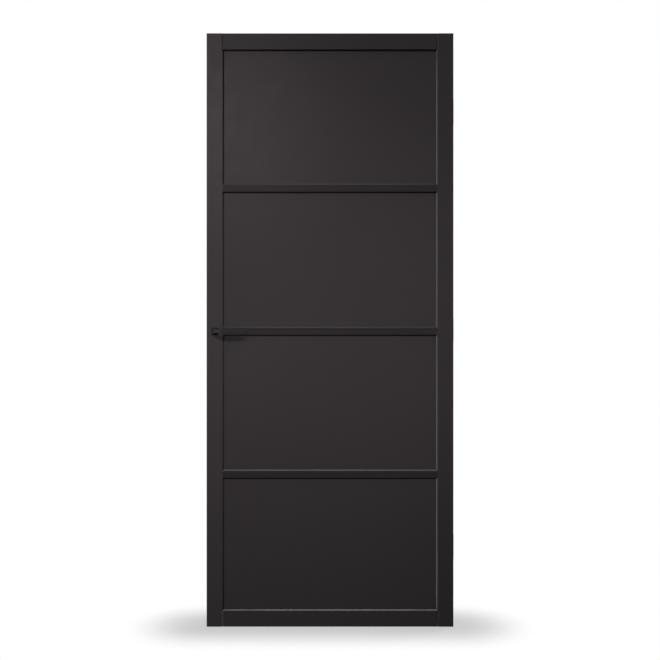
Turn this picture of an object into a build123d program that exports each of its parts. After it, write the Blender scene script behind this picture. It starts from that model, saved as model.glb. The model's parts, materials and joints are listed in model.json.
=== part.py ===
from build123d import *
import math
import os

# Panelled interior door leaf with its hinges, lever handles and latch, all lengths in millimetres.
# X runs across the leaf from the lock edge to the hinge edge, Y from the front face to the back face
# and Z upward from the foot. The origin is the middle of the leaf's foot.

# Leaf
leaf_width = 880.0
leaf_height = 2115.0
leaf_thickness = 40.0
board_width = 57.0
inner_bevel = 4.5
joint_bevel = 3.0
outer_arris = 1.2

# Panel in its groove
panel_thickness = 24.0
groove_depth = 10.0
panel_play = 0.1
panel_expansion = 1.0

# Dowelled corner joints
dowel_radius = 5.0
dowel_length = 70.0
dowel_inset = 13.0
dowel_spacing = 20.0
dowel_play = 0.1
dowel_end_play = 1.0

# Bars across the panel, flush with the boards
bar_face_width = 24.6
bar_pitch = 510.0

# Lever handles
lever_height = 1053.0
backset = 30.0
lever_tip_reach = 114.0
lever_bar_height = 14.0
lever_bar_depth = 5.0
lever_standoff = 50.0
foot_depth = 5.5
neck_lean = 40.0
foot_bend_radius = 6.0
outer_bend_radius = 13.0
inner_bend_radius = 8.0
lever_arris = 0.8
tip_bevel = 3.2
collar_length = 9.0
socket_depth = 11.5
lever_gap = 0.5

# Spindle and grub screws
spindle_size = 8.0
socket_play = 0.05
spindle_end_play = 0.5
grub_radius = 2.0
grub_play = 0.05
grub_setback = 9.5
grub_sink = 0.6

# Roses
rose_size = 25.5
rose_height = 7.0
rose_face_wall = 1.5
rose_side_wall = 1.4
rose_edge_bevel = 0.6
rose_fit = 0.1
rose_base_height = 4.5
collar_play = 0.3
rose_screw_offset = 7.8

# Latch case
case_thickness = 16.0
case_depth = 41.5
case_below = 40.0
case_above = 46.0
case_wall = 1.2
case_play = 0.3
post_radius = 3.2
post_inset = 3.4
spindle_hole_radius = 9.0

# Forend plate
forend_width = 20.0
forend_height = 130.0
forend_thickness = 3.0
forend_play = 0.1
forend_screw_spacing = 110.0

# Magnetic latch bolt
latch_thickness = 12.0
latch_low = 13.5
latch_height = 22.0
latch_length = 19.0
latch_sink = 0.3
latch_arris = 0.8
latch_play = 0.3
latch_groove_length = 12.5
latch_stop_thickness = 2.0
magnet_radius = 4.0
magnet_length = 5.0
magnet_play = 0.05

# Follower
follower_swing = 36.0
arm_radius = 18.0
arm_root_half = 3.2
arm_neck_half = 1.5
arm_neck_reach = 15.5
arm_tip_radius = 2.8
arm_thickness = 7.0
hub_radius = 9.0
hub_side_play = 0.3
journal_radius = 6.5
journal_play = 0.05

# Coil springs
spring_wire = 0.9
spring_radius = 2.7
spring_pitch = 4.6
spring_seat_play = 0.2
spring_side_play = 0.35

# Hinges
hinge_height = 89.0
hinge_end_distance = 230.0
hinge_middle_share = 0.5
flap_thickness = 2.0
flap_gap = 0.8
flap_reach = 24.0
flap_play = 0.1
knuckle_radius = 5.5
knuckle_count = 5
knuckle_clearance = 0.5
knuckle_end_gap = 0.3
pin_radius = 3.0
pin_play = 0.05
pin_cap_radius = 4.4
pin_cap_height = 3.0
pin_cap_arris = 1.0
outer_spacing_share = 0.74
inner_spacing_share = 0.32
outer_screw_inset = 5.0
inner_screw_inset = 12.0
flap_hole_play = 0.25

# Countersunk screws
screw_head_radius = 3.4
screw_shank_radius = 2.0
screw_head_height = 1.5
screw_play = 0.05
hinge_screw_length = 28.0
forend_screw_length = 25.0
small_head_radius = 2.8
small_shank_radius = 1.5
small_head_height = 1.2
rose_screw_length = 12.5
case_screw_length = 7.0

# Every cut runs past the material by this much
overrun = 1.0

# Places worked out from the sizes above
half_width = leaf_width / 2
half_thickness = leaf_thickness / 2
half_panel = panel_thickness / 2
member_width = board_width + inner_bevel
half_joint = half_width - board_width
half_opening = half_width - member_width
half_bar = bar_face_width / 2
groove_half = half_panel + panel_play
bar_heights = {
    "lower": lever_height - bar_pitch,
    "middle": lever_height,
    "upper": lever_height + bar_pitch,
}
spindle_x = -half_width + backset
forend_back = -half_width + forend_thickness
case_back = forend_back + case_depth
case_low = lever_height - case_below
case_high = lever_height + case_above
case_half = case_thickness / 2
forend_middle = (case_low + case_high) / 2
rest_lean = follower_swing / 2
arm_tip_shift = arm_radius * math.sin(math.radians(rest_lean))
arm_tip_rise = arm_radius * math.cos(math.radians(rest_lean))
latch_nose = -half_width + latch_sink
latch_back = latch_nose + latch_length
latch_foot = lever_height + latch_low
hinge_x = half_width + flap_gap / 2
hinge_y = half_thickness + knuckle_radius + knuckle_clearance
flap_front = hinge_y - flap_reach
hinge_low = hinge_end_distance
hinge_high = leaf_height - hinge_end_distance - hinge_height
hinge_feet = {
    "upper": hinge_high,
    "middle": hinge_low + (hinge_high - hinge_low) * hinge_middle_share,
    "lower": hinge_low,
}


# Basic forms

def block(x_span, y_span, z_span):
    """Box between two values on each axis."""
    spans = (x_span, y_span, z_span)
    centre = [(low + high) / 2 for low, high in spans]
    return Pos(*centre) * Box(*[high - low for low, high in spans])


def outline_along_x(points, low, high):
    """Outline of (y, z) points pushed from low to high along X."""
    face = make_face(Polyline(*points, close=True))
    return extrude(Plane.YZ.offset(low) * face, high - low)


def outline_along_y(points, low, high):
    """Outline of (x, z) points pushed from low to high along Y."""
    face = make_face(Polyline(*points, close=True))
    return extrude(Plane.XZ.offset(-high) * face, high - low)


def outline_along_z(points, low, high):
    """Outline of (x, y) points pushed from low to high along Z."""
    face = make_face(Polyline(*points, close=True))
    return extrude(Plane.XY.offset(low) * face, high - low)


def rod_along_x(radius, y, z, low, high):
    return Pos((low + high) / 2, y, z) * Rot(0, 90, 0) * Cylinder(radius, high - low)


def rod_along_y(radius, x, z, low, high):
    return Pos(x, (low + high) / 2, z) * Rot(90, 0, 0) * Cylinder(radius, high - low)


def rod_along_z(radius, x, y, low, high):
    return Pos(x, y, (low + high) / 2) * Cylinder(radius, high - low)


def countersunk(head_radius, shank_radius, head_height, length, play=0, mouth=0):
    """Screw driven along +Z with its head's top at zero. Play widens it and mouth opens it upward."""
    base = (Align.CENTER, Align.CENTER, Align.MIN)
    head = Cone(head_radius + play, shank_radius + play, head_height, align=base)
    shank = Cylinder(shank_radius + play, length + play, align=base)
    screw = head + shank
    if mouth:
        screw += Pos(0, 0, -mouth) * Cylinder(head_radius + play, mouth, align=base)
    return screw


def big_screw(length):
    return countersunk(screw_head_radius, screw_shank_radius, screw_head_height, length)


def big_screw_hole(length, play=screw_play):
    return countersunk(screw_head_radius, screw_shank_radius, screw_head_height, length, play, overrun)


def small_screw(length):
    return countersunk(small_head_radius, small_shank_radius, small_head_height, length)


def small_screw_hole(length):
    return countersunk(
        small_head_radius, small_shank_radius, small_head_height, length, screw_play, overrun
    )


# Stiles, rails, panel and bars

def member_section():
    """Section of a stile or rail as (across, through) points, from its outer edge to its grooved edge."""
    face = half_thickness
    return [
        (outer_arris, -face),
        (board_width, -face),
        (member_width, -face + inner_bevel),
        (member_width, -groove_half),
        (member_width - groove_depth, -groove_half),
        (member_width - groove_depth, groove_half),
        (member_width, groove_half),
        (member_width, face - inner_bevel),
        (board_width, face),
        (outer_arris, face),
        (0, face - outer_arris),
        (0, -face + outer_arris),
    ]


def dowel_places():
    """Each dowel as its side of the leaf and its height."""
    insets = (dowel_inset, dowel_inset + dowel_spacing)
    heights = [*insets, *[leaf_height - inset for inset in insets]]
    return [(side, height) for side in (-1, 1) for height in heights]


def dowel_rods(play=0, end_play=0):
    """Rods across the corner joints, as large as the dowels or as their holes."""
    reach = dowel_length / 2 + end_play
    return [
        rod_along_x(dowel_radius + play, 0, height, side * half_joint - reach, side * half_joint + reach)
        for side, height in dowel_places()
    ]


def joint_grooves():
    """V grooves along the joints of stiles and rails, on both faces."""
    spread = joint_bevel + overrun
    mouth = half_thickness + overrun
    valley = half_thickness - joint_bevel
    grooves = []
    for side in (-1, 1):
        joint = side * half_joint
        for face in (-1, 1):
            points = [(joint - spread, face * mouth), (joint, face * valley), (joint + spread, face * mouth)]
            grooves.append(outline_along_z(points, -overrun, board_width))
            grooves.append(outline_along_z(points, leaf_height - board_width, leaf_height + overrun))
    return grooves


def mitred_notch(side, low, high, depths):
    """Cut in a stile's bevelled edge between two heights, with mitred ends."""
    reach = inner_bevel + overrun
    joint = side * half_joint
    inside = side * (half_joint - reach)
    points = [(joint, low), (joint, high), (inside, high + reach), (inside, low - reach)]
    return outline_along_y(points, *depths)


def stile(side):
    """Full-height stile on the lock side (-1) or the hinge side (1), notched for the rails and the bars."""
    points = [(side * (half_width - across), through) for across, through in member_section()]
    shape = outline_along_z(points, 0, leaf_height)
    mouth = half_thickness + overrun
    shape -= mitred_notch(side, -overrun, board_width, (-mouth, mouth))
    shape -= mitred_notch(side, leaf_height - board_width, leaf_height + overrun, (-mouth, mouth))
    for height in bar_heights.values():
        for depths in ((-mouth, -half_panel), (half_panel, mouth)):
            shape -= mitred_notch(side, height - half_bar, height + half_bar, depths)
    return shape - joint_grooves() - dowel_rods(dowel_play, dowel_end_play)


def rail(outer_edge, inward):
    """Rail from its outer edge's height, growing up (1) or down (-1), with a stub tenon at each end."""
    section = [(through, outer_edge + inward * across) for across, through in member_section()]
    shape = outline_along_x(section, -half_joint, half_joint)
    reach = inner_bevel + overrun
    mouth = half_thickness + overrun
    for side in (-1, 1):
        corner = [
            (half_joint + overrun, board_width - overrun),
            (half_joint - reach, board_width + reach),
            (half_joint + overrun, board_width + reach),
        ]
        mitre = [(side * across, outer_edge + inward * along) for across, along in corner]
        shape -= outline_along_y(mitre, -mouth, mouth)
    tenon_end = half_opening + groove_depth - panel_expansion
    tenon_heights = sorted((outer_edge, outer_edge + inward * (member_width - groove_depth)))
    core = block((-tenon_end, tenon_end), (-half_panel, half_panel), tenon_heights)
    return shape - joint_grooves() + core - dowel_rods(dowel_play, dowel_end_play)


def panel():
    """Flat panel that floats in the grooves all round."""
    tongue = groove_depth - panel_expansion
    return block(
        (-half_opening - tongue, half_opening + tongue),
        (-half_panel, half_panel),
        (member_width - tongue, leaf_height - member_width + tongue),
    )


def bar(side, height):
    """Bar on the front (-1) or the back (1) of the panel, with bevelled edges mitred at the stiles."""
    base = side * half_panel
    face = side * half_thickness
    edge = face - side * inner_bevel
    foot = half_bar + inner_bevel
    section = [(base, -foot), (edge, -foot), (face, -half_bar), (face, half_bar), (edge, foot), (base, foot)]
    outline = [
        (-half_joint, -half_bar),
        (-half_opening, -foot),
        (half_opening, -foot),
        (half_joint, -half_bar),
        (half_joint, half_bar),
        (half_opening, foot),
        (-half_opening, foot),
        (-half_joint, half_bar),
    ]
    shape = outline_along_x(section, -half_joint, half_joint)
    shape &= outline_along_y(outline, *sorted((base, face)))
    return Pos(0, 0, height) * shape


# Hinges

def flap_screw_places():
    """Each flap screw as its depth and its height above the hinge's foot."""
    middle = hinge_height / 2
    rows = ((outer_screw_inset, outer_spacing_share), (inner_screw_inset, inner_spacing_share))
    return [
        (flap_front + inset, middle + end * middle * spacing_share)
        for inset, spacing_share in rows
        for end in (-1, 1)
    ]


def placed_flap_screws(shape, side, foot):
    """Copies of a screw or hole on a flap, driven away from the gap: leaf flap (-1) or jamb flap (1)."""
    face = hinge_x + side * flap_gap / 2
    return [
        Pos(face, depth, foot + height) * Rot(0, side * 90, 0) * shape
        for depth, height in flap_screw_places()
    ]


def knuckle_span(index, foot):
    pitch = (hinge_height + knuckle_end_gap) / knuckle_count
    return foot + index * pitch, foot + (index + 1) * pitch - knuckle_end_gap


def flap(side, foot):
    """Hinge flap let into the leaf (-1) or screwed to the jamb (1), with its share of the knuckles."""
    near = hinge_x + side * flap_gap / 2
    width = sorted((near, near + side * flap_thickness))
    shape = block(width, (flap_front, half_thickness), (foot, foot + hinge_height))
    bore_radius = pin_radius + pin_play
    tab_end = hinge_y - (knuckle_radius + bore_radius) / 2
    first = 1 if side < 0 else 0
    for index in range(first, knuckle_count, 2):
        span = knuckle_span(index, foot)
        shape += block(width, (half_thickness - flap_thickness, tab_end), span)
        shape += rod_along_z(knuckle_radius, hinge_x, hinge_y, *span)
    shape -= rod_along_z(bore_radius, hinge_x, hinge_y, foot - overrun, foot + hinge_height + overrun)
    hole = big_screw_hole(flap_thickness + overrun, flap_hole_play)
    return shape - placed_flap_screws(hole, side, foot)


def flap_recess(foot):
    """Room for the leaf flap in the hinge stile's edge, open at the back face."""
    return block(
        (half_width - flap_thickness, half_width + overrun),
        (flap_front - flap_play, half_thickness + overrun),
        (foot - flap_play, foot + hinge_height + flap_play),
    )


def hinge_pin(foot):
    """Pin through all the knuckles, with a bevelled cap at each end."""
    top = foot + hinge_height
    pin = rod_along_z(pin_radius, hinge_x, hinge_y, foot, top)
    cap = Cylinder(pin_cap_radius, pin_cap_height, align=(Align.CENTER, Align.CENTER, Align.MIN))
    cap = chamfer(cap.edges().sort_by(Axis.Z)[-1], pin_cap_arris)
    pin += Pos(hinge_x, hinge_y, top) * cap
    pin += Pos(hinge_x, hinge_y, foot) * Rot(180, 0, 0) * cap
    return pin


def hinge_stile():
    """Hinge stile with its flap recesses and screw holes."""
    shape = stile(1)
    for foot in hinge_feet.values():
        shape -= flap_recess(foot)
        shape -= placed_flap_screws(big_screw_hole(hinge_screw_length), -1, foot)
    return shape


def hinge_screws():
    screw = big_screw(hinge_screw_length)
    return [placed for foot in hinge_feet.values() for placed in placed_flap_screws(screw, -1, foot)]


# Latch

def forend_screw_heights():
    return [forend_middle + end * forend_screw_spacing / 2 for end in (-1, 1)]


def placed_forend_screws(shape):
    return [Pos(-half_width, 0, height) * Rot(0, 90, 0) * shape for height in forend_screw_heights()]


def forend_outline(play):
    """Round-ended plate in the leaf's lock edge, or its recess when play is given."""
    face = Plane.YZ * SlotOverall(forend_height + 2 * play, forend_width + 2 * play, rotation=90)
    depth = forend_thickness + (overrun if play else 0)
    return Pos(forend_back, 0, forend_middle) * extrude(face, -depth)


def latch_window(low, high):
    """Opening for the latch bolt's head between two X places."""
    half = latch_thickness / 2 + latch_play
    heights = (latch_foot - latch_play, latch_foot + latch_height + latch_play)
    return block((low, high), (-half, half), heights)


def forend():
    """Forend plate with its latch window and screw holes."""
    window = latch_window(-half_width - overrun, forend_back + overrun)
    holes = placed_forend_screws(big_screw_hole(forend_screw_length))
    return forend_outline(0) - window - holes


def case_post_places():
    """Cover posts in two opposite corners of the case."""
    inset = post_inset
    return [(case_back - inset, case_high - inset), (forend_back + inset, case_low + inset)]


def placed_case_screws(shape):
    return [Pos(x, -case_half, z) * Rot(-90, 0, 0) * shape for x, z in case_post_places()]


def latch_stop():
    """Rib in the case that keeps the latch bolt from going in further than flush."""
    face = latch_back + latch_play
    half = latch_thickness / 2
    middle = latch_foot + latch_height / 2
    return block((face, face + latch_stop_thickness), (-half, case_half), (middle, latch_foot + latch_height))


def latch_case():
    """Open tray of the latch case, with posts for its cover and a stop for the bolt."""
    cover_seat = -case_half + case_wall
    shape = block((forend_back, case_back), (cover_seat, case_half), (case_low, case_high))
    shape -= block(
        (forend_back + case_wall, case_back - case_wall),
        (cover_seat - overrun, case_half - case_wall),
        (case_low + case_wall, case_high - case_wall),
    )
    shape += [rod_along_y(post_radius, x, z, cover_seat, case_half) for x, z in case_post_places()]
    shape += latch_stop()
    shape -= latch_window(forend_back - overrun, forend_back + case_wall + overrun)
    shape -= rod_along_y(journal_radius + journal_play, spindle_x, lever_height, 0, case_half + overrun)
    return shape - placed_case_screws(small_screw_hole(case_screw_length))


def latch_case_cover():
    """Flat cover of the latch case."""
    shape = block((forend_back, case_back), (-case_half, -case_half + case_wall), (case_low, case_high))
    shape -= rod_along_y(journal_radius + journal_play, spindle_x, lever_height, -case_half - overrun, 0)
    return shape - placed_case_screws(small_screw_hole(case_screw_length))


def latch_magnet(play=0):
    """Round magnet let into the latch bolt's nose, or its seat when play is given."""
    front = latch_nose - (overrun if play else 0)
    back = latch_nose + magnet_length + play
    return rod_along_x(magnet_radius + play, 0, latch_foot + latch_height / 2, front, back)


def latch_bolt():
    """Bolt that a magnet in the strike draws out, flush at rest, with a groove for its pull-back spring."""
    half = latch_thickness / 2
    bolt = block((latch_nose, latch_back), (-half, half), (latch_foot, latch_foot + latch_height))
    bolt = chamfer(bolt.faces().sort_by(Axis.X)[0].edges(), latch_arris)
    room = spring_radius + spring_wire / 2 + spring_side_play
    groove = block(
        (latch_back - latch_groove_length, latch_back + overrun),
        (-room, room),
        (latch_foot - overrun, lever_height + arm_tip_rise + room),
    )
    return bolt - latch_magnet(magnet_play) - groove


def follower():
    """Follower hub with a square hole, an arm that pulls the latch back and an arm for its return spring."""
    arm = [
        (-arm_root_half, 0),
        (-arm_neck_half, arm_neck_reach),
        (arm_neck_half, arm_neck_reach),
        (arm_root_half, 0),
    ]
    half = arm_thickness / 2
    lever_arm = outline_along_y(arm, -half, half) + rod_along_y(arm_tip_radius, 0, arm_radius, -half, half)
    shape = lever_arm + Rot(0, 180, 0) * lever_arm
    hub_half = case_half - case_wall - hub_side_play
    shape += rod_along_y(hub_radius, 0, 0, -hub_half, hub_half)
    shape += rod_along_y(journal_radius, 0, 0, -case_half, case_half)
    hole = spindle_size / 2 + socket_play
    reach = case_half + overrun
    shape = Rot(0, -rest_lean, 0) * shape
    shape -= block((-hole, hole), (-reach, reach), (-hole, hole))
    return Pos(spindle_x, 0, lever_height) * shape


def coil_spring(low, high, z):
    """Square-wire coil along X between two seats."""
    half_wire = spring_wire / 2
    run = high - low - spring_wire
    path = Helix(spring_pitch, run, spring_radius)
    start = Plane(origin=path @ 0, x_dir=(1, 0, 0), z_dir=path % 0)
    coil = sweep(start * Rectangle(spring_wire, spring_wire), path, is_frenet=True)
    return Pos(low + half_wire, 0, z) * Rot(0, 90, 0) * coil


def latch_spring():
    """Spring through which the follower's upper arm pulls the latch bolt back."""
    arm_side = spindle_x - arm_tip_shift - arm_tip_radius - spring_seat_play
    seat = latch_back - latch_groove_length + spring_seat_play
    return coil_spring(seat, arm_side, lever_height + arm_tip_rise)


def follower_spring():
    """Spring that returns the follower, between the case's front wall and the lower arm."""
    arm_side = spindle_x + arm_tip_shift - arm_tip_radius - spring_seat_play
    return coil_spring(forend_back + case_wall + spring_seat_play, arm_side, lever_height - arm_tip_rise)


def lock_stile():
    """Lock stile with its latch mortice, forend recess, spindle hole and screw holes."""
    shape = stile(-1) - forend_outline(forend_play)
    half = case_half + case_play
    shape -= block(
        (forend_back - overrun, case_back + case_play),
        (-half, half),
        (case_low - case_play, case_high + case_play),
    )
    through = half_thickness + overrun
    shape -= rod_along_y(spindle_hole_radius, spindle_x, lever_height, -through, through)
    shape -= placed_forend_screws(big_screw_hole(forend_screw_length))
    for side in (-1, 1):
        shape -= placed_rose_screws(small_screw_hole(rose_screw_length), side)
    return shape


# Levers and roses

def placed_rose_screws(shape, side):
    """Screws or holes in opposite corners of a rose base on the front (-1) or the back (1)."""
    face = side * (half_thickness + rose_base_height)
    offset = rose_screw_offset
    return [
        Pos(spindle_x + end * offset, face, lever_height - end * offset) * Rot(side * 90, 0, 0) * shape
        for end in (-1, 1)
    ]


def square_plate(size, side, low, high):
    """Square plate around the spindle, between two distances from the leaf's face."""
    half = size / 2
    depths = sorted((side * (half_thickness + low), side * (half_thickness + high)))
    return block(
        (spindle_x - half, spindle_x + half), depths, (lever_height - half, lever_height + half)
    )


def collar_hole():
    reach = half_thickness + rose_height + overrun
    return rod_along_y(lever_bar_height / 2 + collar_play, spindle_x, lever_height, -reach, reach)


def rose_base(side):
    """Square base screwed to the stile."""
    size = rose_size - 2 * (rose_side_wall + rose_fit)
    holes = placed_rose_screws(small_screw_hole(rose_screw_length), side)
    return square_plate(size, side, 0, rose_base_height) - collar_hole() - holes


def rose_cover(side):
    """Square cap pushed over the rose base, with bevelled front edges."""
    cap = square_plate(rose_size, side, 0, rose_height)
    outer = cap.faces().sort_by(Axis.Y)[-1 if side > 0 else 0]
    cap = chamfer(outer.edges(), rose_edge_bevel)
    room = square_plate(rose_size - 2 * rose_side_wall, side, -overrun, rose_height - rose_face_wall)
    return cap - room - collar_hole()


def lever_plan():
    """Front lever's plan as (x, y) points round from its foot, with each corner's radius."""
    foot = -half_thickness - rose_height - lever_gap
    lean_start = foot - foot_depth
    grip_front = -half_thickness - lever_standoff
    grip_back = grip_front + lever_bar_depth
    slope = math.tan(math.radians(neck_lean))
    across = lever_bar_depth / math.cos(math.radians(neck_lean))
    left = spindle_x - lever_bar_height / 2
    right = spindle_x + lever_bar_height / 2
    tip = spindle_x + lever_tip_reach
    return [
        ((left, foot), 0),
        ((left, lean_start), foot_bend_radius),
        ((left + (lean_start - grip_front) * slope, grip_front), outer_bend_radius),
        ((tip - tip_bevel, grip_front), 0),
        ((tip, grip_front + tip_bevel), 0),
        ((tip, grip_back), 0),
        ((left + across + (lean_start - grip_back) * slope, grip_back), inner_bend_radius),
        ((right, lean_start - (right - left - across) / slope), foot_bend_radius),
        ((right, foot), 0),
    ]


def front_lever():
    """Flat-bar lever with a square foot, a leaning neck, a straight grip and a socket for the spindle."""
    corners = lever_plan()
    plan = make_face(Polyline(*[point for point, _ in corners], close=True))
    for point, radius in corners:
        if radius:
            plan = fillet(plan.vertices().sort_by_distance((*point, 0))[0], radius)
    half = lever_bar_height / 2
    bar_shape = extrude(Plane.XY.offset(-half) * plan, lever_bar_height)
    rims = bar_shape.faces().sort_by(Axis.Z)
    bar_shape = chamfer(rims[0].edges() + rims[-1].edges(), lever_arris)
    foot = -half_thickness - lever_gap
    shape = bar_shape + rod_along_y(half, spindle_x, 0, foot - collar_length, foot)
    hole = spindle_size / 2 + socket_play
    shape -= block(
        (spindle_x - hole, spindle_x + hole), (foot - socket_depth, foot + overrun), (-hole, hole)
    )
    grub_y = foot - grub_setback
    shape -= rod_along_z(grub_radius + grub_play, spindle_x, grub_y, -half - overrun, 0)
    return Pos(0, 0, lever_height) * shape


def rear_lever():
    return mirror(front_lever(), about=Plane.XZ)


def spindle():
    """Square spindle from socket to socket through the follower."""
    reach = half_thickness + lever_gap + socket_depth - spindle_end_play
    half = spindle_size / 2
    return block(
        (spindle_x - half, spindle_x + half),
        (-reach, reach),
        (lever_height - half, lever_height + half),
    )


def grub_screws():
    """Grub screw up through the foot of each lever, against the spindle."""
    place = half_thickness + lever_gap + grub_setback
    low = lever_height - lever_bar_height / 2 + grub_sink
    high = lever_height - spindle_size / 2
    return [rod_along_z(grub_radius, spindle_x, side * place, low, high) for side in (-1, 1)]


# Sub-parts by name

def sub_parts():
    shapes = {
        "lock_stile": lock_stile(),
        "hinge_stile": hinge_stile(),
        "top_rail": rail(leaf_height, -1),
        "bottom_rail": rail(0, 1),
        "dowels": Compound(dowel_rods()),
        "panel": panel(),
    }
    for place, height in bar_heights.items():
        shapes[f"front_bar_{place}"] = bar(-1, height)
        shapes[f"back_bar_{place}"] = bar(1, height)
    for place, foot in hinge_feet.items():
        shapes[f"hinge_{place}_leaf_flap"] = flap(-1, foot)
        shapes[f"hinge_{place}_jamb_flap"] = flap(1, foot)
        shapes[f"hinge_{place}_pin"] = hinge_pin(foot)
    shapes["hinge_screws"] = Compound(hinge_screws())
    shapes["latch_case"] = latch_case()
    shapes["latch_case_cover"] = latch_case_cover()
    shapes["case_screws"] = Compound(placed_case_screws(small_screw(case_screw_length)))
    shapes["forend"] = forend()
    shapes["forend_screws"] = Compound(placed_forend_screws(big_screw(forend_screw_length)))
    shapes["latch_bolt"] = latch_bolt()
    shapes["latch_magnet"] = latch_magnet()
    shapes["latch_spring"] = latch_spring()
    shapes["follower"] = follower()
    shapes["follower_spring"] = follower_spring()
    shapes["front_lever"] = front_lever()
    shapes["rear_lever"] = rear_lever()
    shapes["spindle"] = spindle()
    shapes["lever_grub_screws"] = Compound(grub_screws())
    rose_screws = []
    for name, side in (("front", -1), ("rear", 1)):
        shapes[f"{name}_rose_base"] = rose_base(side)
        shapes[f"{name}_rose_cover"] = rose_cover(side)
        rose_screws += placed_rose_screws(small_screw(rose_screw_length), side)
    shapes["rose_screws"] = Compound(rose_screws)
    return shapes


os.makedirs("parts", exist_ok=True)
for name, shape in sub_parts().items():
    export_step(shape, f"parts/{name}.step")
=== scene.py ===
import json
import math

import bmesh
import bpy
from mathutils import Matrix, Vector

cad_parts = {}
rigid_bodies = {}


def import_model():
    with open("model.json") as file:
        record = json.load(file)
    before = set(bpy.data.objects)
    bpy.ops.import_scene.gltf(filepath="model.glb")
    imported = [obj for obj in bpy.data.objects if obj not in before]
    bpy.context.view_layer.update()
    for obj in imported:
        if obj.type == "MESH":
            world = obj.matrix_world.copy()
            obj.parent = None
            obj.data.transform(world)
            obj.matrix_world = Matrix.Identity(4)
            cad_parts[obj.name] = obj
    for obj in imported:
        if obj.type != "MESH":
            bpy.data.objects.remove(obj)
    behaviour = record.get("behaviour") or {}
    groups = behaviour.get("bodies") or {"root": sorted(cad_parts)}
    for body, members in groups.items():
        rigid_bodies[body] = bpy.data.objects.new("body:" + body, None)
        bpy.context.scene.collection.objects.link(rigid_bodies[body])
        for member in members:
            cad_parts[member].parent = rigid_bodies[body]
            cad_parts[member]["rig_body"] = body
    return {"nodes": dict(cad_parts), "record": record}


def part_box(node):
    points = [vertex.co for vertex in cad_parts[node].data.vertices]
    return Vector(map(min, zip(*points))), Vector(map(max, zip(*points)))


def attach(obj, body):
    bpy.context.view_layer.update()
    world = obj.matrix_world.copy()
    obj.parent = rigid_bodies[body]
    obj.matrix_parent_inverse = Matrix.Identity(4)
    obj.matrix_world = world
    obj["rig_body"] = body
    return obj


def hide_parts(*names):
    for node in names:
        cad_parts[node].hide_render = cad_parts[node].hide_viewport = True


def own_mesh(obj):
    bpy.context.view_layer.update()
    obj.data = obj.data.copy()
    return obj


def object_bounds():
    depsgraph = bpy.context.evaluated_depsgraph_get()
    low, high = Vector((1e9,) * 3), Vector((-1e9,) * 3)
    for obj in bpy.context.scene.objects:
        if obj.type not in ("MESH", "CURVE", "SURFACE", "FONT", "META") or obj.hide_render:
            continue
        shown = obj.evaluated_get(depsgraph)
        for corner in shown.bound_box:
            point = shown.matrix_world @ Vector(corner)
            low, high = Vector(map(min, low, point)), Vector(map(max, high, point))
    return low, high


# Panelled interior door in a plain studio. Lengths are in metres, in the frame of the solids.

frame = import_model()
cad_low, cad_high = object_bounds()
nodes = frame["nodes"]
record = frame["record"]
slots = {part["node"]: part["material_slot"] for part in record["subparts"]}
leaf_middle = (cad_low.z + cad_high.z) / 2
millimetre = 0.001

# Picture that the camera takes, in pixels
image_size = 660
pixels_per_metre = 280.6

# Camera: its distance from the leaf's front face, and its sensor in millimetres
camera_distance = 3.6
sensor_width = 36

# Noise: the values between which a material changes, and the steps of its detail
noise_span = (0.3, 0.7)
low_detail, mid_detail, high_detail = 2, 3, 4

# Lacquer, with its clouds and its orange peel
lacquer_colour = (0.0175, 0.0150, 0.0161)
lacquer_variation = 0.05
lacquer_cloud_size = 0.22
lacquer_sheen = 0.5
sheen_tint = (1, 0.865, 0.925)
sheen_cloud_size = 0.05
lacquer_roughness = (0.28, 0.33)
orange_peel_size = 0.0016
orange_peel_depth = 0.00003

# Shade of the boards and the bars beside that of the panel
panel_tone = 1
board_tones = {"lock_stile": 1.08, "hinge_stile": 0.9, "top_rail": 0.88, "bottom_rail": 0.95}
bar_tone = 0.68

# Painted highlight on the bevels of the V lines at the corners: their width, the blur of its edge, and how
# much paler the colour is made
joint_bevel = 0.003
joint_blur = 0.0003
joint_highlight_gain = 6.5

# Powder coat
coat_colour = (0.0205, 0.0190, 0.0198)
coat_variation = 0.08
coat_cloud_size = 0.012
coat_sheen = 0.08
coat_roughness = (0.56, 0.64)
coat_grain_size = 0.0005
coat_grain_depth = 0.00003

# Plated metals: each one's colour, roughness and stretch of its lines, and what they share
zinc = ((0.56, 0.56, 0.57), 0.34, (12, 1, 1))
nickel = ((0.62, 0.6, 0.57), 0.24, (10, 1, 1))
spring_wire = ((0.34, 0.34, 0.35), 0.3, (1, 1, 1))
plate_variation = 0.1
plate_cloud_size = 0.008
plate_line_size = 0.0004
plate_line_depth = 0.00001
plate_roughness_shares = (0.8, 1.25)

# Beech
beech_colours = ((0.47, 0.31, 0.17), (0.6, 0.43, 0.26))
beech_roughness = (0.62, 0.75)
beech_grain_size = 0.0009
beech_grain_stretch = (14, 1, 1)
beech_grain_depth = 0.00005

# Screws
shank_radius = 0.002
head_height = 0.0015
thread_pitch = 0.0018
thread_depth = 0.0004
cross_arm_half = 0.00055
cross_reach_share = 0.62
recess_depth = 0.0011
recess_taper_share = 0.55
socket_reach_share = 0.62
round_steps = 32

# Floor, which fades to white over a span of distances from the leaf
floor_reach = 14.0
floor_drop = 0.0005
floor_colour = (0.15, 0.15, 0.148)
floor_roughness = (0.75, 0.85)
floor_cloud_size = 0.4
floor_white_span = (0.03, 0.3)
floor_white_share = 0.55

# White that mirrored rays meet, by the ray's direction: where it begins and where it is full
white_behind = (0, 0.2)
white_left = (-0.4, -0.7)
white_front = (-0.3, -0.7)
white_over_ground = (-1, 0)
front_share = 0.47

# Dim light from all round
fill_strength = 0.02


# Shader helpers

def material_nodes(name):
    """New material with its node tree and its principled shader."""
    material = bpy.data.materials.new(name)
    material.use_nodes = True
    tree = material.node_tree
    return material, tree, tree.nodes["Principled BSDF"]


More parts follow.
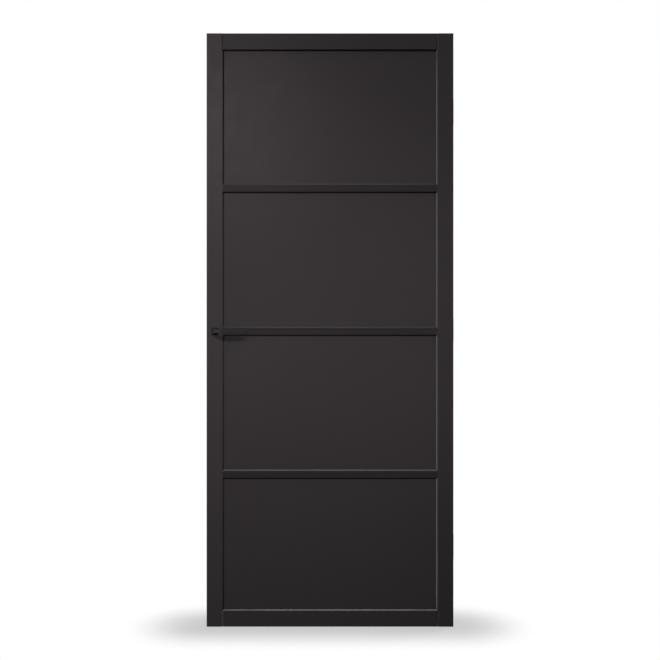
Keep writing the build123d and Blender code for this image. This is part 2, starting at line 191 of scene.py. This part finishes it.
def coordinates(tree, kind):
    """X, Y and Z of a place or a direction, as outputs of a node."""
    source = tree.nodes.new("ShaderNodeTexCoord")
    split = tree.nodes.new("ShaderNodeSeparateXYZ")
    tree.links.new(source.outputs[kind], split.inputs["Vector"])
    return split.outputs


def noise(tree, size, detail, stretch=(1, 1, 1)):
    """Noise whose blobs are about as large as the given size, drawn out by the stretch on each axis."""
    place = tree.nodes.new("ShaderNodeTexCoord")
    mapping = tree.nodes.new("ShaderNodeMapping")
    mapping.inputs["Scale"].default_value = [1 / (size * factor) for factor in stretch]
    texture = tree.nodes.new("ShaderNodeTexNoise")
    texture.inputs["Scale"].default_value = 1
    texture.inputs["Detail"].default_value = detail
    tree.links.new(place.outputs["Object"], mapping.inputs["Vector"])
    tree.links.new(mapping.outputs["Vector"], texture.inputs["Vector"])
    return texture.outputs["Fac"]


def ranged(tree, value, span, results, interpolation):
    """Value in a span as a number between two results, which hold beyond the span's ends."""
    node = tree.nodes.new("ShaderNodeMapRange")
    node.interpolation_type = interpolation
    for socket, number in zip(("From Min", "From Max", "To Min", "To Max"), (*span, *results)):
        node.inputs[socket].default_value = number
    tree.links.new(value, node.inputs["Value"])
    return node.outputs["Result"]


def spread(tree, value, results):
    """Noise value as a number between two results."""
    return ranged(tree, value, noise_span, results, "LINEAR")


def fade(tree, value, span, results):
    """Smooth change from the first result, at the start of the span, to the second at its end."""
    return ranged(tree, value, span, results, "SMOOTHSTEP")


def tint(tree, value, dark, light):
    """Noise value as a colour between two."""
    ramp = tree.nodes.new("ShaderNodeValToRGB")
    for stop, position, colour in zip(ramp.color_ramp.elements, noise_span, (dark, light)):
        stop.position = position
        stop.color = (*colour, 1)
    tree.links.new(value, ramp.inputs["Fac"])
    return ramp.outputs["Color"]


def arithmetic(tree, operation, *operands):
    """Math node whose operands are plain numbers or outputs of other nodes."""
    node = tree.nodes.new("ShaderNodeMath")
    node.operation = operation
    for socket, operand in zip(node.inputs, operands):
        if isinstance(operand, (int, float)):
            socket.default_value = operand
        else:
            tree.links.new(operand, socket)
    return node.outputs["Value"]


def larger(tree, first, second):
    """Larger of two values."""
    return arithmetic(tree, "MAXIMUM", first, second)


def product(tree, first, second):
    """Product of two values."""
    return arithmetic(tree, "MULTIPLY", first, second)


def gap(tree, value, middle):
    """Distance of a value from a number."""
    return arithmetic(tree, "ABSOLUTE", arithmetic(tree, "SUBTRACT", value, middle))


def bump(tree, value, depth, shader):
    """Relief of the given depth on a shader."""
    node = tree.nodes.new("ShaderNodeBump")
    node.inputs["Distance"].default_value = depth
    tree.links.new(value, node.inputs["Height"])
    tree.links.new(node.outputs["Normal"], shader.inputs["Normal"])


def mixed_output(tree, share, first, second, output):
    """Mix of two shaders, by the second one's share, as the tree's surface."""
    mix = tree.nodes.new("ShaderNodeMixShader")
    tree.links.new(share, mix.inputs["Fac"])
    tree.links.new(first, mix.inputs[1])
    tree.links.new(second, mix.inputs[2])
    tree.links.new(mix.outputs["Shader"], tree.nodes[output].inputs["Surface"])


def shades(colour, variation):
    """Darker and lighter neighbours of a colour."""
    return [[channel * (1 + change) for channel in colour] for change in (-variation, variation)]


# Materials

def painted_joint_highlight(tree, colour):
    """Colour made paler on the bevels of the V lines at the corners: a painted highlight that stands in for
    light on the groove's flanks.
    """
    rail_low, rail_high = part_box("top_rail")
    joint = (rail_high.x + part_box("hinge_stile")[0].x) / 2
    rail_start = rail_low.z + rail_high.x - joint - leaf_middle
    place = coordinates(tree, "Object")
    from_joint = gap(tree, gap(tree, place["X"], 0), joint)
    at_joint = fade(tree, from_joint, (joint_bevel - joint_blur, joint_bevel), (1, 0))
    from_middle = gap(tree, place["Z"], leaf_middle)
    beside_rail = fade(tree, from_middle, (rail_start, rail_start + joint_blur), (0, 1))
    # Painted highlight: the colour is scaled up on both bevels of each corner joint
    highlight_scale = fade(tree, product(tree, at_joint, beside_rail), (0, 1), (1, joint_highlight_gain))
    scale = tree.nodes.new("ShaderNodeVectorMath")
    scale.operation = "SCALE"
    tree.links.new(colour, scale.inputs[0])
    tree.links.new(highlight_scale, scale.inputs["Scale"])
    return scale.outputs["Vector"]


def lacquer(name, tone, with_joint_highlights=False):
    """Sprayed anthracite lacquer: faint clouds in colour and sheen over a fine orange peel, and on the
    boards a painted highlight on the V-line bevels.
    """
    material, tree, shader = material_nodes(name)
    clouds = noise(tree, lacquer_cloud_size, mid_detail)
    toned = [channel * tone for channel in lacquer_colour]
    colour = tint(tree, clouds, *shades(toned, lacquer_variation))
    # The boards get a painted highlight on the V-line bevels at their corners
    if with_joint_highlights:
        colour = painted_joint_highlight(tree, colour)
    tree.links.new(colour, shader.inputs["Base Color"])
    shader.inputs["Specular IOR Level"].default_value = lacquer_sheen * tone
    shader.inputs["Specular Tint"].default_value = (*sheen_tint, 1)
    sheen = noise(tree, sheen_cloud_size, high_detail)
    tree.links.new(spread(tree, sheen, lacquer_roughness), shader.inputs["Roughness"])
    bump(tree, noise(tree, orange_peel_size, low_detail), orange_peel_depth, shader)
    return material


def powder_coat():
    """Satin black powder coat on metal, with its fine grain."""
    material, tree, shader = material_nodes("black_powder_coat")
    clouds = noise(tree, coat_cloud_size, mid_detail)
    tree.links.new(tint(tree, clouds, *shades(coat_colour, coat_variation)), shader.inputs["Base Color"])
    tree.links.new(spread(tree, clouds, coat_roughness), shader.inputs["Roughness"])
    shader.inputs["Specular IOR Level"].default_value = coat_sheen
    bump(tree, noise(tree, coat_grain_size, low_detail), coat_grain_depth, shader)
    return material


def plated_metal(name, colour, roughness, line_stretch):
    """Plated metal with fine drawn or rolled lines."""
    material, tree, shader = material_nodes(name)
    lines = noise(tree, plate_line_size, mid_detail, line_stretch)
    clouds = noise(tree, plate_cloud_size, mid_detail)
    tree.links.new(tint(tree, clouds, *shades(colour, plate_variation)), shader.inputs["Base Color"])
    roughnesses = [roughness * share for share in plate_roughness_shares]
    tree.links.new(spread(tree, lines, roughnesses), shader.inputs["Roughness"])
    shader.inputs["Metallic"].default_value = 1
    bump(tree, lines, plate_line_depth, shader)
    return material


def beech():
    """Bare beech with short flecks along the dowels."""
    material, tree, shader = material_nodes("bare_beech")
    grain = noise(tree, beech_grain_size, high_detail, beech_grain_stretch)
    tree.links.new(tint(tree, grain, *beech_colours), shader.inputs["Base Color"])
    tree.links.new(spread(tree, grain, beech_roughness), shader.inputs["Roughness"])
    bump(tree, grain, beech_grain_depth, shader)
    return material


finishes = {
    "lacquer": lacquer("anthracite_lacquer", panel_tone),
    "dowel_wood": beech(),
    "black_metal": powder_coat(),
    "steel": plated_metal("zinc_plate", *zinc),
    "latch_metal": plated_metal("nickel_plate", *nickel),
    "spring_steel": plated_metal("spring_wire", *spring_wire),
}
# Lacquers of the boards, with a painted highlight on their V-line bevels
board_lacquers = {name: lacquer(f"{name}_lacquer", tone, with_joint_highlights=True) for name, tone in board_tones.items()}
bar_lacquer = lacquer("bar_lacquer", bar_tone)


def paint(piece, material):
    """Gives a piece its one material."""
    piece.data.materials.clear()
    piece.data.materials.append(material)


for name, slot in slots.items():
    if "_bar_" in name:
        paint(nodes[name], bar_lacquer)
    else:
        paint(nodes[name], board_lacquers.get(name, finishes[slot]))


# Screws with a drive recess, in place of the plain ones

def cross_outline(reach):
    """Plus-shaped outline of a cross recess."""
    arm = cross_arm_half
    corner = [(reach, -arm), (reach, arm), (arm, arm)]
    return [Matrix.Rotation(turn * math.pi / 2, 2) @ Vector(point) for turn in range(4) for point in corner]


def hexagon_outline(reach):
    """Outline of a hexagon socket."""
    angles = [turn * math.pi / 3 for turn in range(6)]
    return [Vector((math.cos(angle), math.sin(angle))) * reach for angle in angles]


def ring_of_vertices(mesh, radius, height):
    """Round ring of vertices about Z."""
    angles = [2 * math.pi * step / round_steps for step in range(round_steps)]
    return [mesh.verts.new((radius * math.cos(angle), radius * math.sin(angle), height)) for angle in angles]


def join_rings(mesh, upper, lower):
    """Faces between two rings with equally many vertices."""
    for step in range(len(upper)):
        following = (step + 1) % len(upper)
        mesh.faces.new((upper[step], lower[step], lower[following], upper[following]))


def screw_mesh(mesh, profile, recess, depth):
    """Turned body from (radius, height) pairs, top first, with a tapered recess in its top."""
    rings = [ring_of_vertices(mesh, radius, height) for radius, height in profile]
    for upper, lower in zip(rings, rings[1:]):
        join_rings(mesh, upper, lower)
    mesh.faces.new(list(reversed(rings[-1])))
    top = profile[0][1]
    mouth = [mesh.verts.new((*point, top)) for point in recess]
    bottom = [mesh.verts.new((*(point * recess_taper_share), top - depth)) for point in recess]
    join_rings(mesh, bottom, mouth)
    mesh.faces.new(bottom)
    rim = []
    for loop in (rings[0], mouth):
        rim += [mesh.edges.get(ends) for ends in zip(loop[-1:] + loop[:-1], loop)]
    bmesh.ops.triangle_fill(mesh, use_beauty=True, use_dissolve=False, edges=rim, normal=(0, 0, 1))


def wood_screw_profile(head_radius, length):
    """Countersunk head and the ridges of the thread, down to a blunt point."""
    profile = [(head_radius, 0), (shank_radius, -head_height)]
    turns = int((length - head_height) / thread_pitch) - 1
    for turn in range(turns):
        height = -head_height - turn * thread_pitch
        profile.append((shank_radius - thread_depth, height - thread_pitch / 2))
        profile.append((shank_radius, height - thread_pitch))
    return profile + [(shank_radius / 2, -length)]


def screws_piece(name, node, profile, recess, depth, places):
    """One piece with a screw at each place, standing for a node of plain screws."""
    mesh = bmesh.new()
    for place in places:
        single = bmesh.new()
        screw_mesh(single, profile, recess, depth)
        single.transform(place)
        bmesh.ops.recalc_face_normals(single, faces=single.faces)
        scratch = bpy.data.meshes.new("one_screw")
        single.to_mesh(scratch)
        single.free()
        mesh.from_mesh(scratch)
        bpy.data.meshes.remove(scratch)
    data = bpy.data.meshes.new(name)
    mesh.to_mesh(data)
    mesh.free()
    piece = bpy.data.objects.new(name, data)
    bpy.context.scene.collection.objects.link(piece)
    body = nodes[node]["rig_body"]
    slot = slots[node]
    paint(piece, finishes[slot])
    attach(piece, body)
    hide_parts(node)


def driven_along_x(x, y, z, sign):
    """Screw whose head's top is at a place, driven towards +X (1) or -X (-1)."""
    return Matrix.Translation((x, y, z)) @ Matrix.Rotation(-sign * math.pi / 2, 4, "Y")


def hinge_screw_places(head_top):
    """Leaf flap screws, opposite the holes of the jamb flaps."""
    places = []
    for mount in record["mounts"]:
        if mount["kind"] == "bolt_pattern":
            half = mount["dims"]["spacing_y_mm"] * millimetre / 2
            _, y, z = mount["pos_m"]
            places += [driven_along_x(head_top, y, z + end * half, -1) for end in (-1, 1)]
    return places


forend_low, forend_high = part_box("forend_screws")
forend_middle = (forend_low.y + forend_high.y) / 2
screw_head_radius = (forend_high.y - forend_low.y) / 2
hinge_low, hinge_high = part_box("hinge_screws")
grub_low, grub_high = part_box("lever_grub_screws")
grub_middle = (grub_low.x + grub_high.x) / 2
grub_radius = (grub_high.x - grub_low.x) / 2

screws_piece(
    "leaf_flap_screws",
    "hinge_screws",
    wood_screw_profile(screw_head_radius, hinge_high.x - hinge_low.x),
    cross_outline(screw_head_radius * cross_reach_share),
    recess_depth,
    hinge_screw_places(hinge_high.x),
)
screws_piece(
    "forend_plate_screws",
    "forend_screws",
    wood_screw_profile(screw_head_radius, forend_high.x - forend_low.x),
    cross_outline(screw_head_radius * cross_reach_share),
    recess_depth,
    [
        driven_along_x(forend_low.x, forend_middle, z, 1)
        for z in (forend_low.z + screw_head_radius, forend_high.z - screw_head_radius)
    ],
)
screws_piece(
    "socket_grub_screws",
    "lever_grub_screws",
    [(grub_radius, 0), (grub_radius, grub_low.z - grub_high.z)],
    hexagon_outline(grub_radius * socket_reach_share),
    recess_depth,
    [
        Matrix.Translation((grub_middle, y, grub_low.z)) @ Matrix.Rotation(math.pi, 4, "X")
        for y in (grub_low.y + grub_radius, grub_high.y - grub_radius)
    ],
)


# Return spring, which the follower's lower arm shortens as the lever turns in the real lock; here it is a
# piece of its own

def return_spring(node):
    """Piece that stands for the spring's node, on the node's body, with a mesh of its own."""
    piece = bpy.data.objects.new("return_spring", nodes[node].data.copy())
    bpy.context.scene.collection.objects.link(piece)
    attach(piece, nodes[node]["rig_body"])
    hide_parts(node)
    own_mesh(piece)


return_spring("follower_spring")


# Floor, which mirrored rays pass on their way to the surroundings

def distance_from_leaf(tree):
    """Distance on the floor from the leaf's foot."""
    place = coordinates(tree, "Object")
    beyond = arithmetic(tree, "SUBTRACT", gap(tree, place["X"], 0), cad_high.x)
    outside = larger(tree, beyond, 0)
    squares = [product(tree, length, length) for length in (outside, place["Y"])]
    return arithmetic(tree, "SQRT", arithmetic(tree, "ADD", *squares))


def white_floor():
    """Pale floor that fades to white away from the leaf and keeps its shadow."""
    material, tree, shader = material_nodes("pale_floor")
    shader.inputs["Base Color"].default_value = (*floor_colour, 1)
    clouds = noise(tree, floor_cloud_size, mid_detail)
    tree.links.new(spread(tree, clouds, floor_roughness), shader.inputs["Roughness"])
    white = tree.nodes.new("ShaderNodeEmission")
    path = tree.nodes.new("ShaderNodeLightPath")
    whiteness = fade(tree, distance_from_leaf(tree), floor_white_span, (floor_white_share, 1))
    share = product(tree, path.outputs["Is Camera Ray"], whiteness)
    mixed_output(tree, share, shader.outputs["BSDF"], white.outputs["Emission"], "Material Output")
    return material


bpy.ops.mesh.primitive_plane_add(size=2 * floor_reach, location=(0, 0, -floor_drop))
floor = bpy.context.object
floor.name = "floor"
floor.data.materials.append(white_floor())
floor.visible_glossy = False


# Surroundings

def mirrored_white(tree, path):
    """Share of white that mirrored rays meet in the surroundings."""
    ray = coordinates(tree, "Generated")
    behind = fade(tree, ray["Y"], white_behind, (0, 1))
    left = fade(tree, ray["X"], white_left, (0, 1))
    front = fade(tree, ray["Y"], white_front, (0, front_share))
    over_ground = fade(tree, ray["Z"], white_over_ground, (0, 1))
    mirrored = larger(tree, path.outputs["Is Glossy Ray"], path.outputs["Is Transmission Ray"])
    around = product(tree, larger(tree, behind, front), over_ground)
    return product(tree, mirrored, larger(tree, left, around))


def studio_world():
    """Surroundings that are white to the camera and in part to mirrored rays, with a dim fill."""
    world = bpy.data.worlds.new("studio")
    world.use_nodes = True
    tree = world.node_tree
    fill = tree.nodes["Background"]
    fill.inputs["Color"].default_value = (1, 1, 1, 1)
    fill.inputs["Strength"].default_value = fill_strength
    white = tree.nodes.new("ShaderNodeBackground")
    white.inputs["Color"].default_value = (1, 1, 1, 1)
    white.inputs["Strength"].default_value = 1
    path = tree.nodes.new("ShaderNodeLightPath")
    share = larger(tree, path.outputs["Is Camera Ray"], mirrored_white(tree, path))
    mixed_output(tree, share, fill.outputs["Background"], white.outputs["Background"], "World Output")
    return world


bpy.context.scene.world = studio_world()


# Lights

def soft_box(name, place, aim, width, height, power, beam=180, lights=True, mirrored=True):
    """Area lamp with a grid that narrows its beam, in degrees; it may only light or only be mirrored."""
    lamp = bpy.data.lights.new(name, "AREA")
    lamp.shape = "RECTANGLE"
    lamp.size = width
    lamp.size_y = height
    lamp.energy = power
    lamp.spread = math.radians(beam)
    box = bpy.data.objects.new(name, lamp)
    box.location = place
    box.rotation_euler = (Vector(aim) - Vector(place)).to_track_quat("-Z", "Y").to_euler()
    box.visible_diffuse = lights
    box.visible_glossy = mirrored
    bpy.context.scene.collection.objects.link(box)


# The key casts the lever's shadow, the front boxes are the flats' sheen, and the strip is the bevels' glint
soft_box(
    "front_key", place=(0.5, -3.6, 2.85), aim=(-0.3, 0, 0.95),
    width=0.15, height=0.15, power=4.3, beam=29, mirrored=False,
)
soft_box(
    "upper_left_box", place=(-1.1, -4.5, 2.8), aim=(-1.1, 0, 2.8),
    width=1.5, height=1.3, power=8.6,
)
soft_box(
    "right_box", place=(1.0, -4.5, 1.45), aim=(1.0, 0, 1.45),
    width=1.2, height=2.8, power=3.2,
)
soft_box(
    "overhead_box", place=(0, -1.12, 5.0), aim=(0, -1.12, 0),
    width=2.4, height=1.0, power=53,
)
soft_box(
    "rear_box", place=(2.4, 1.8, 1.6), aim=(0.44, 0, 1.1),
    width=0.8, height=1.6, power=45, beam=90, mirrored=False,
)
soft_box(
    "left_strip", place=(-1.0, -0.16, 0.95), aim=(0, -0.16, 0.95),
    width=0.6, height=2.86, power=10.5, lights=False,
)


# Camera

front_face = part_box("lock_stile")[0].y
camera_data = bpy.data.cameras.new("camera")
camera_data.sensor_width = sensor_width
camera_data.lens = sensor_width * pixels_per_metre * camera_distance / image_size
camera = bpy.data.objects.new("camera", camera_data)
camera.location = (0, front_face - camera_distance, leaf_middle)
camera.rotation_euler = (math.pi / 2, 0, 0)
bpy.context.scene.collection.objects.link(camera)
bpy.context.scene.camera = camera
bpy.context.scene.view_settings.view_transform = "Standard"
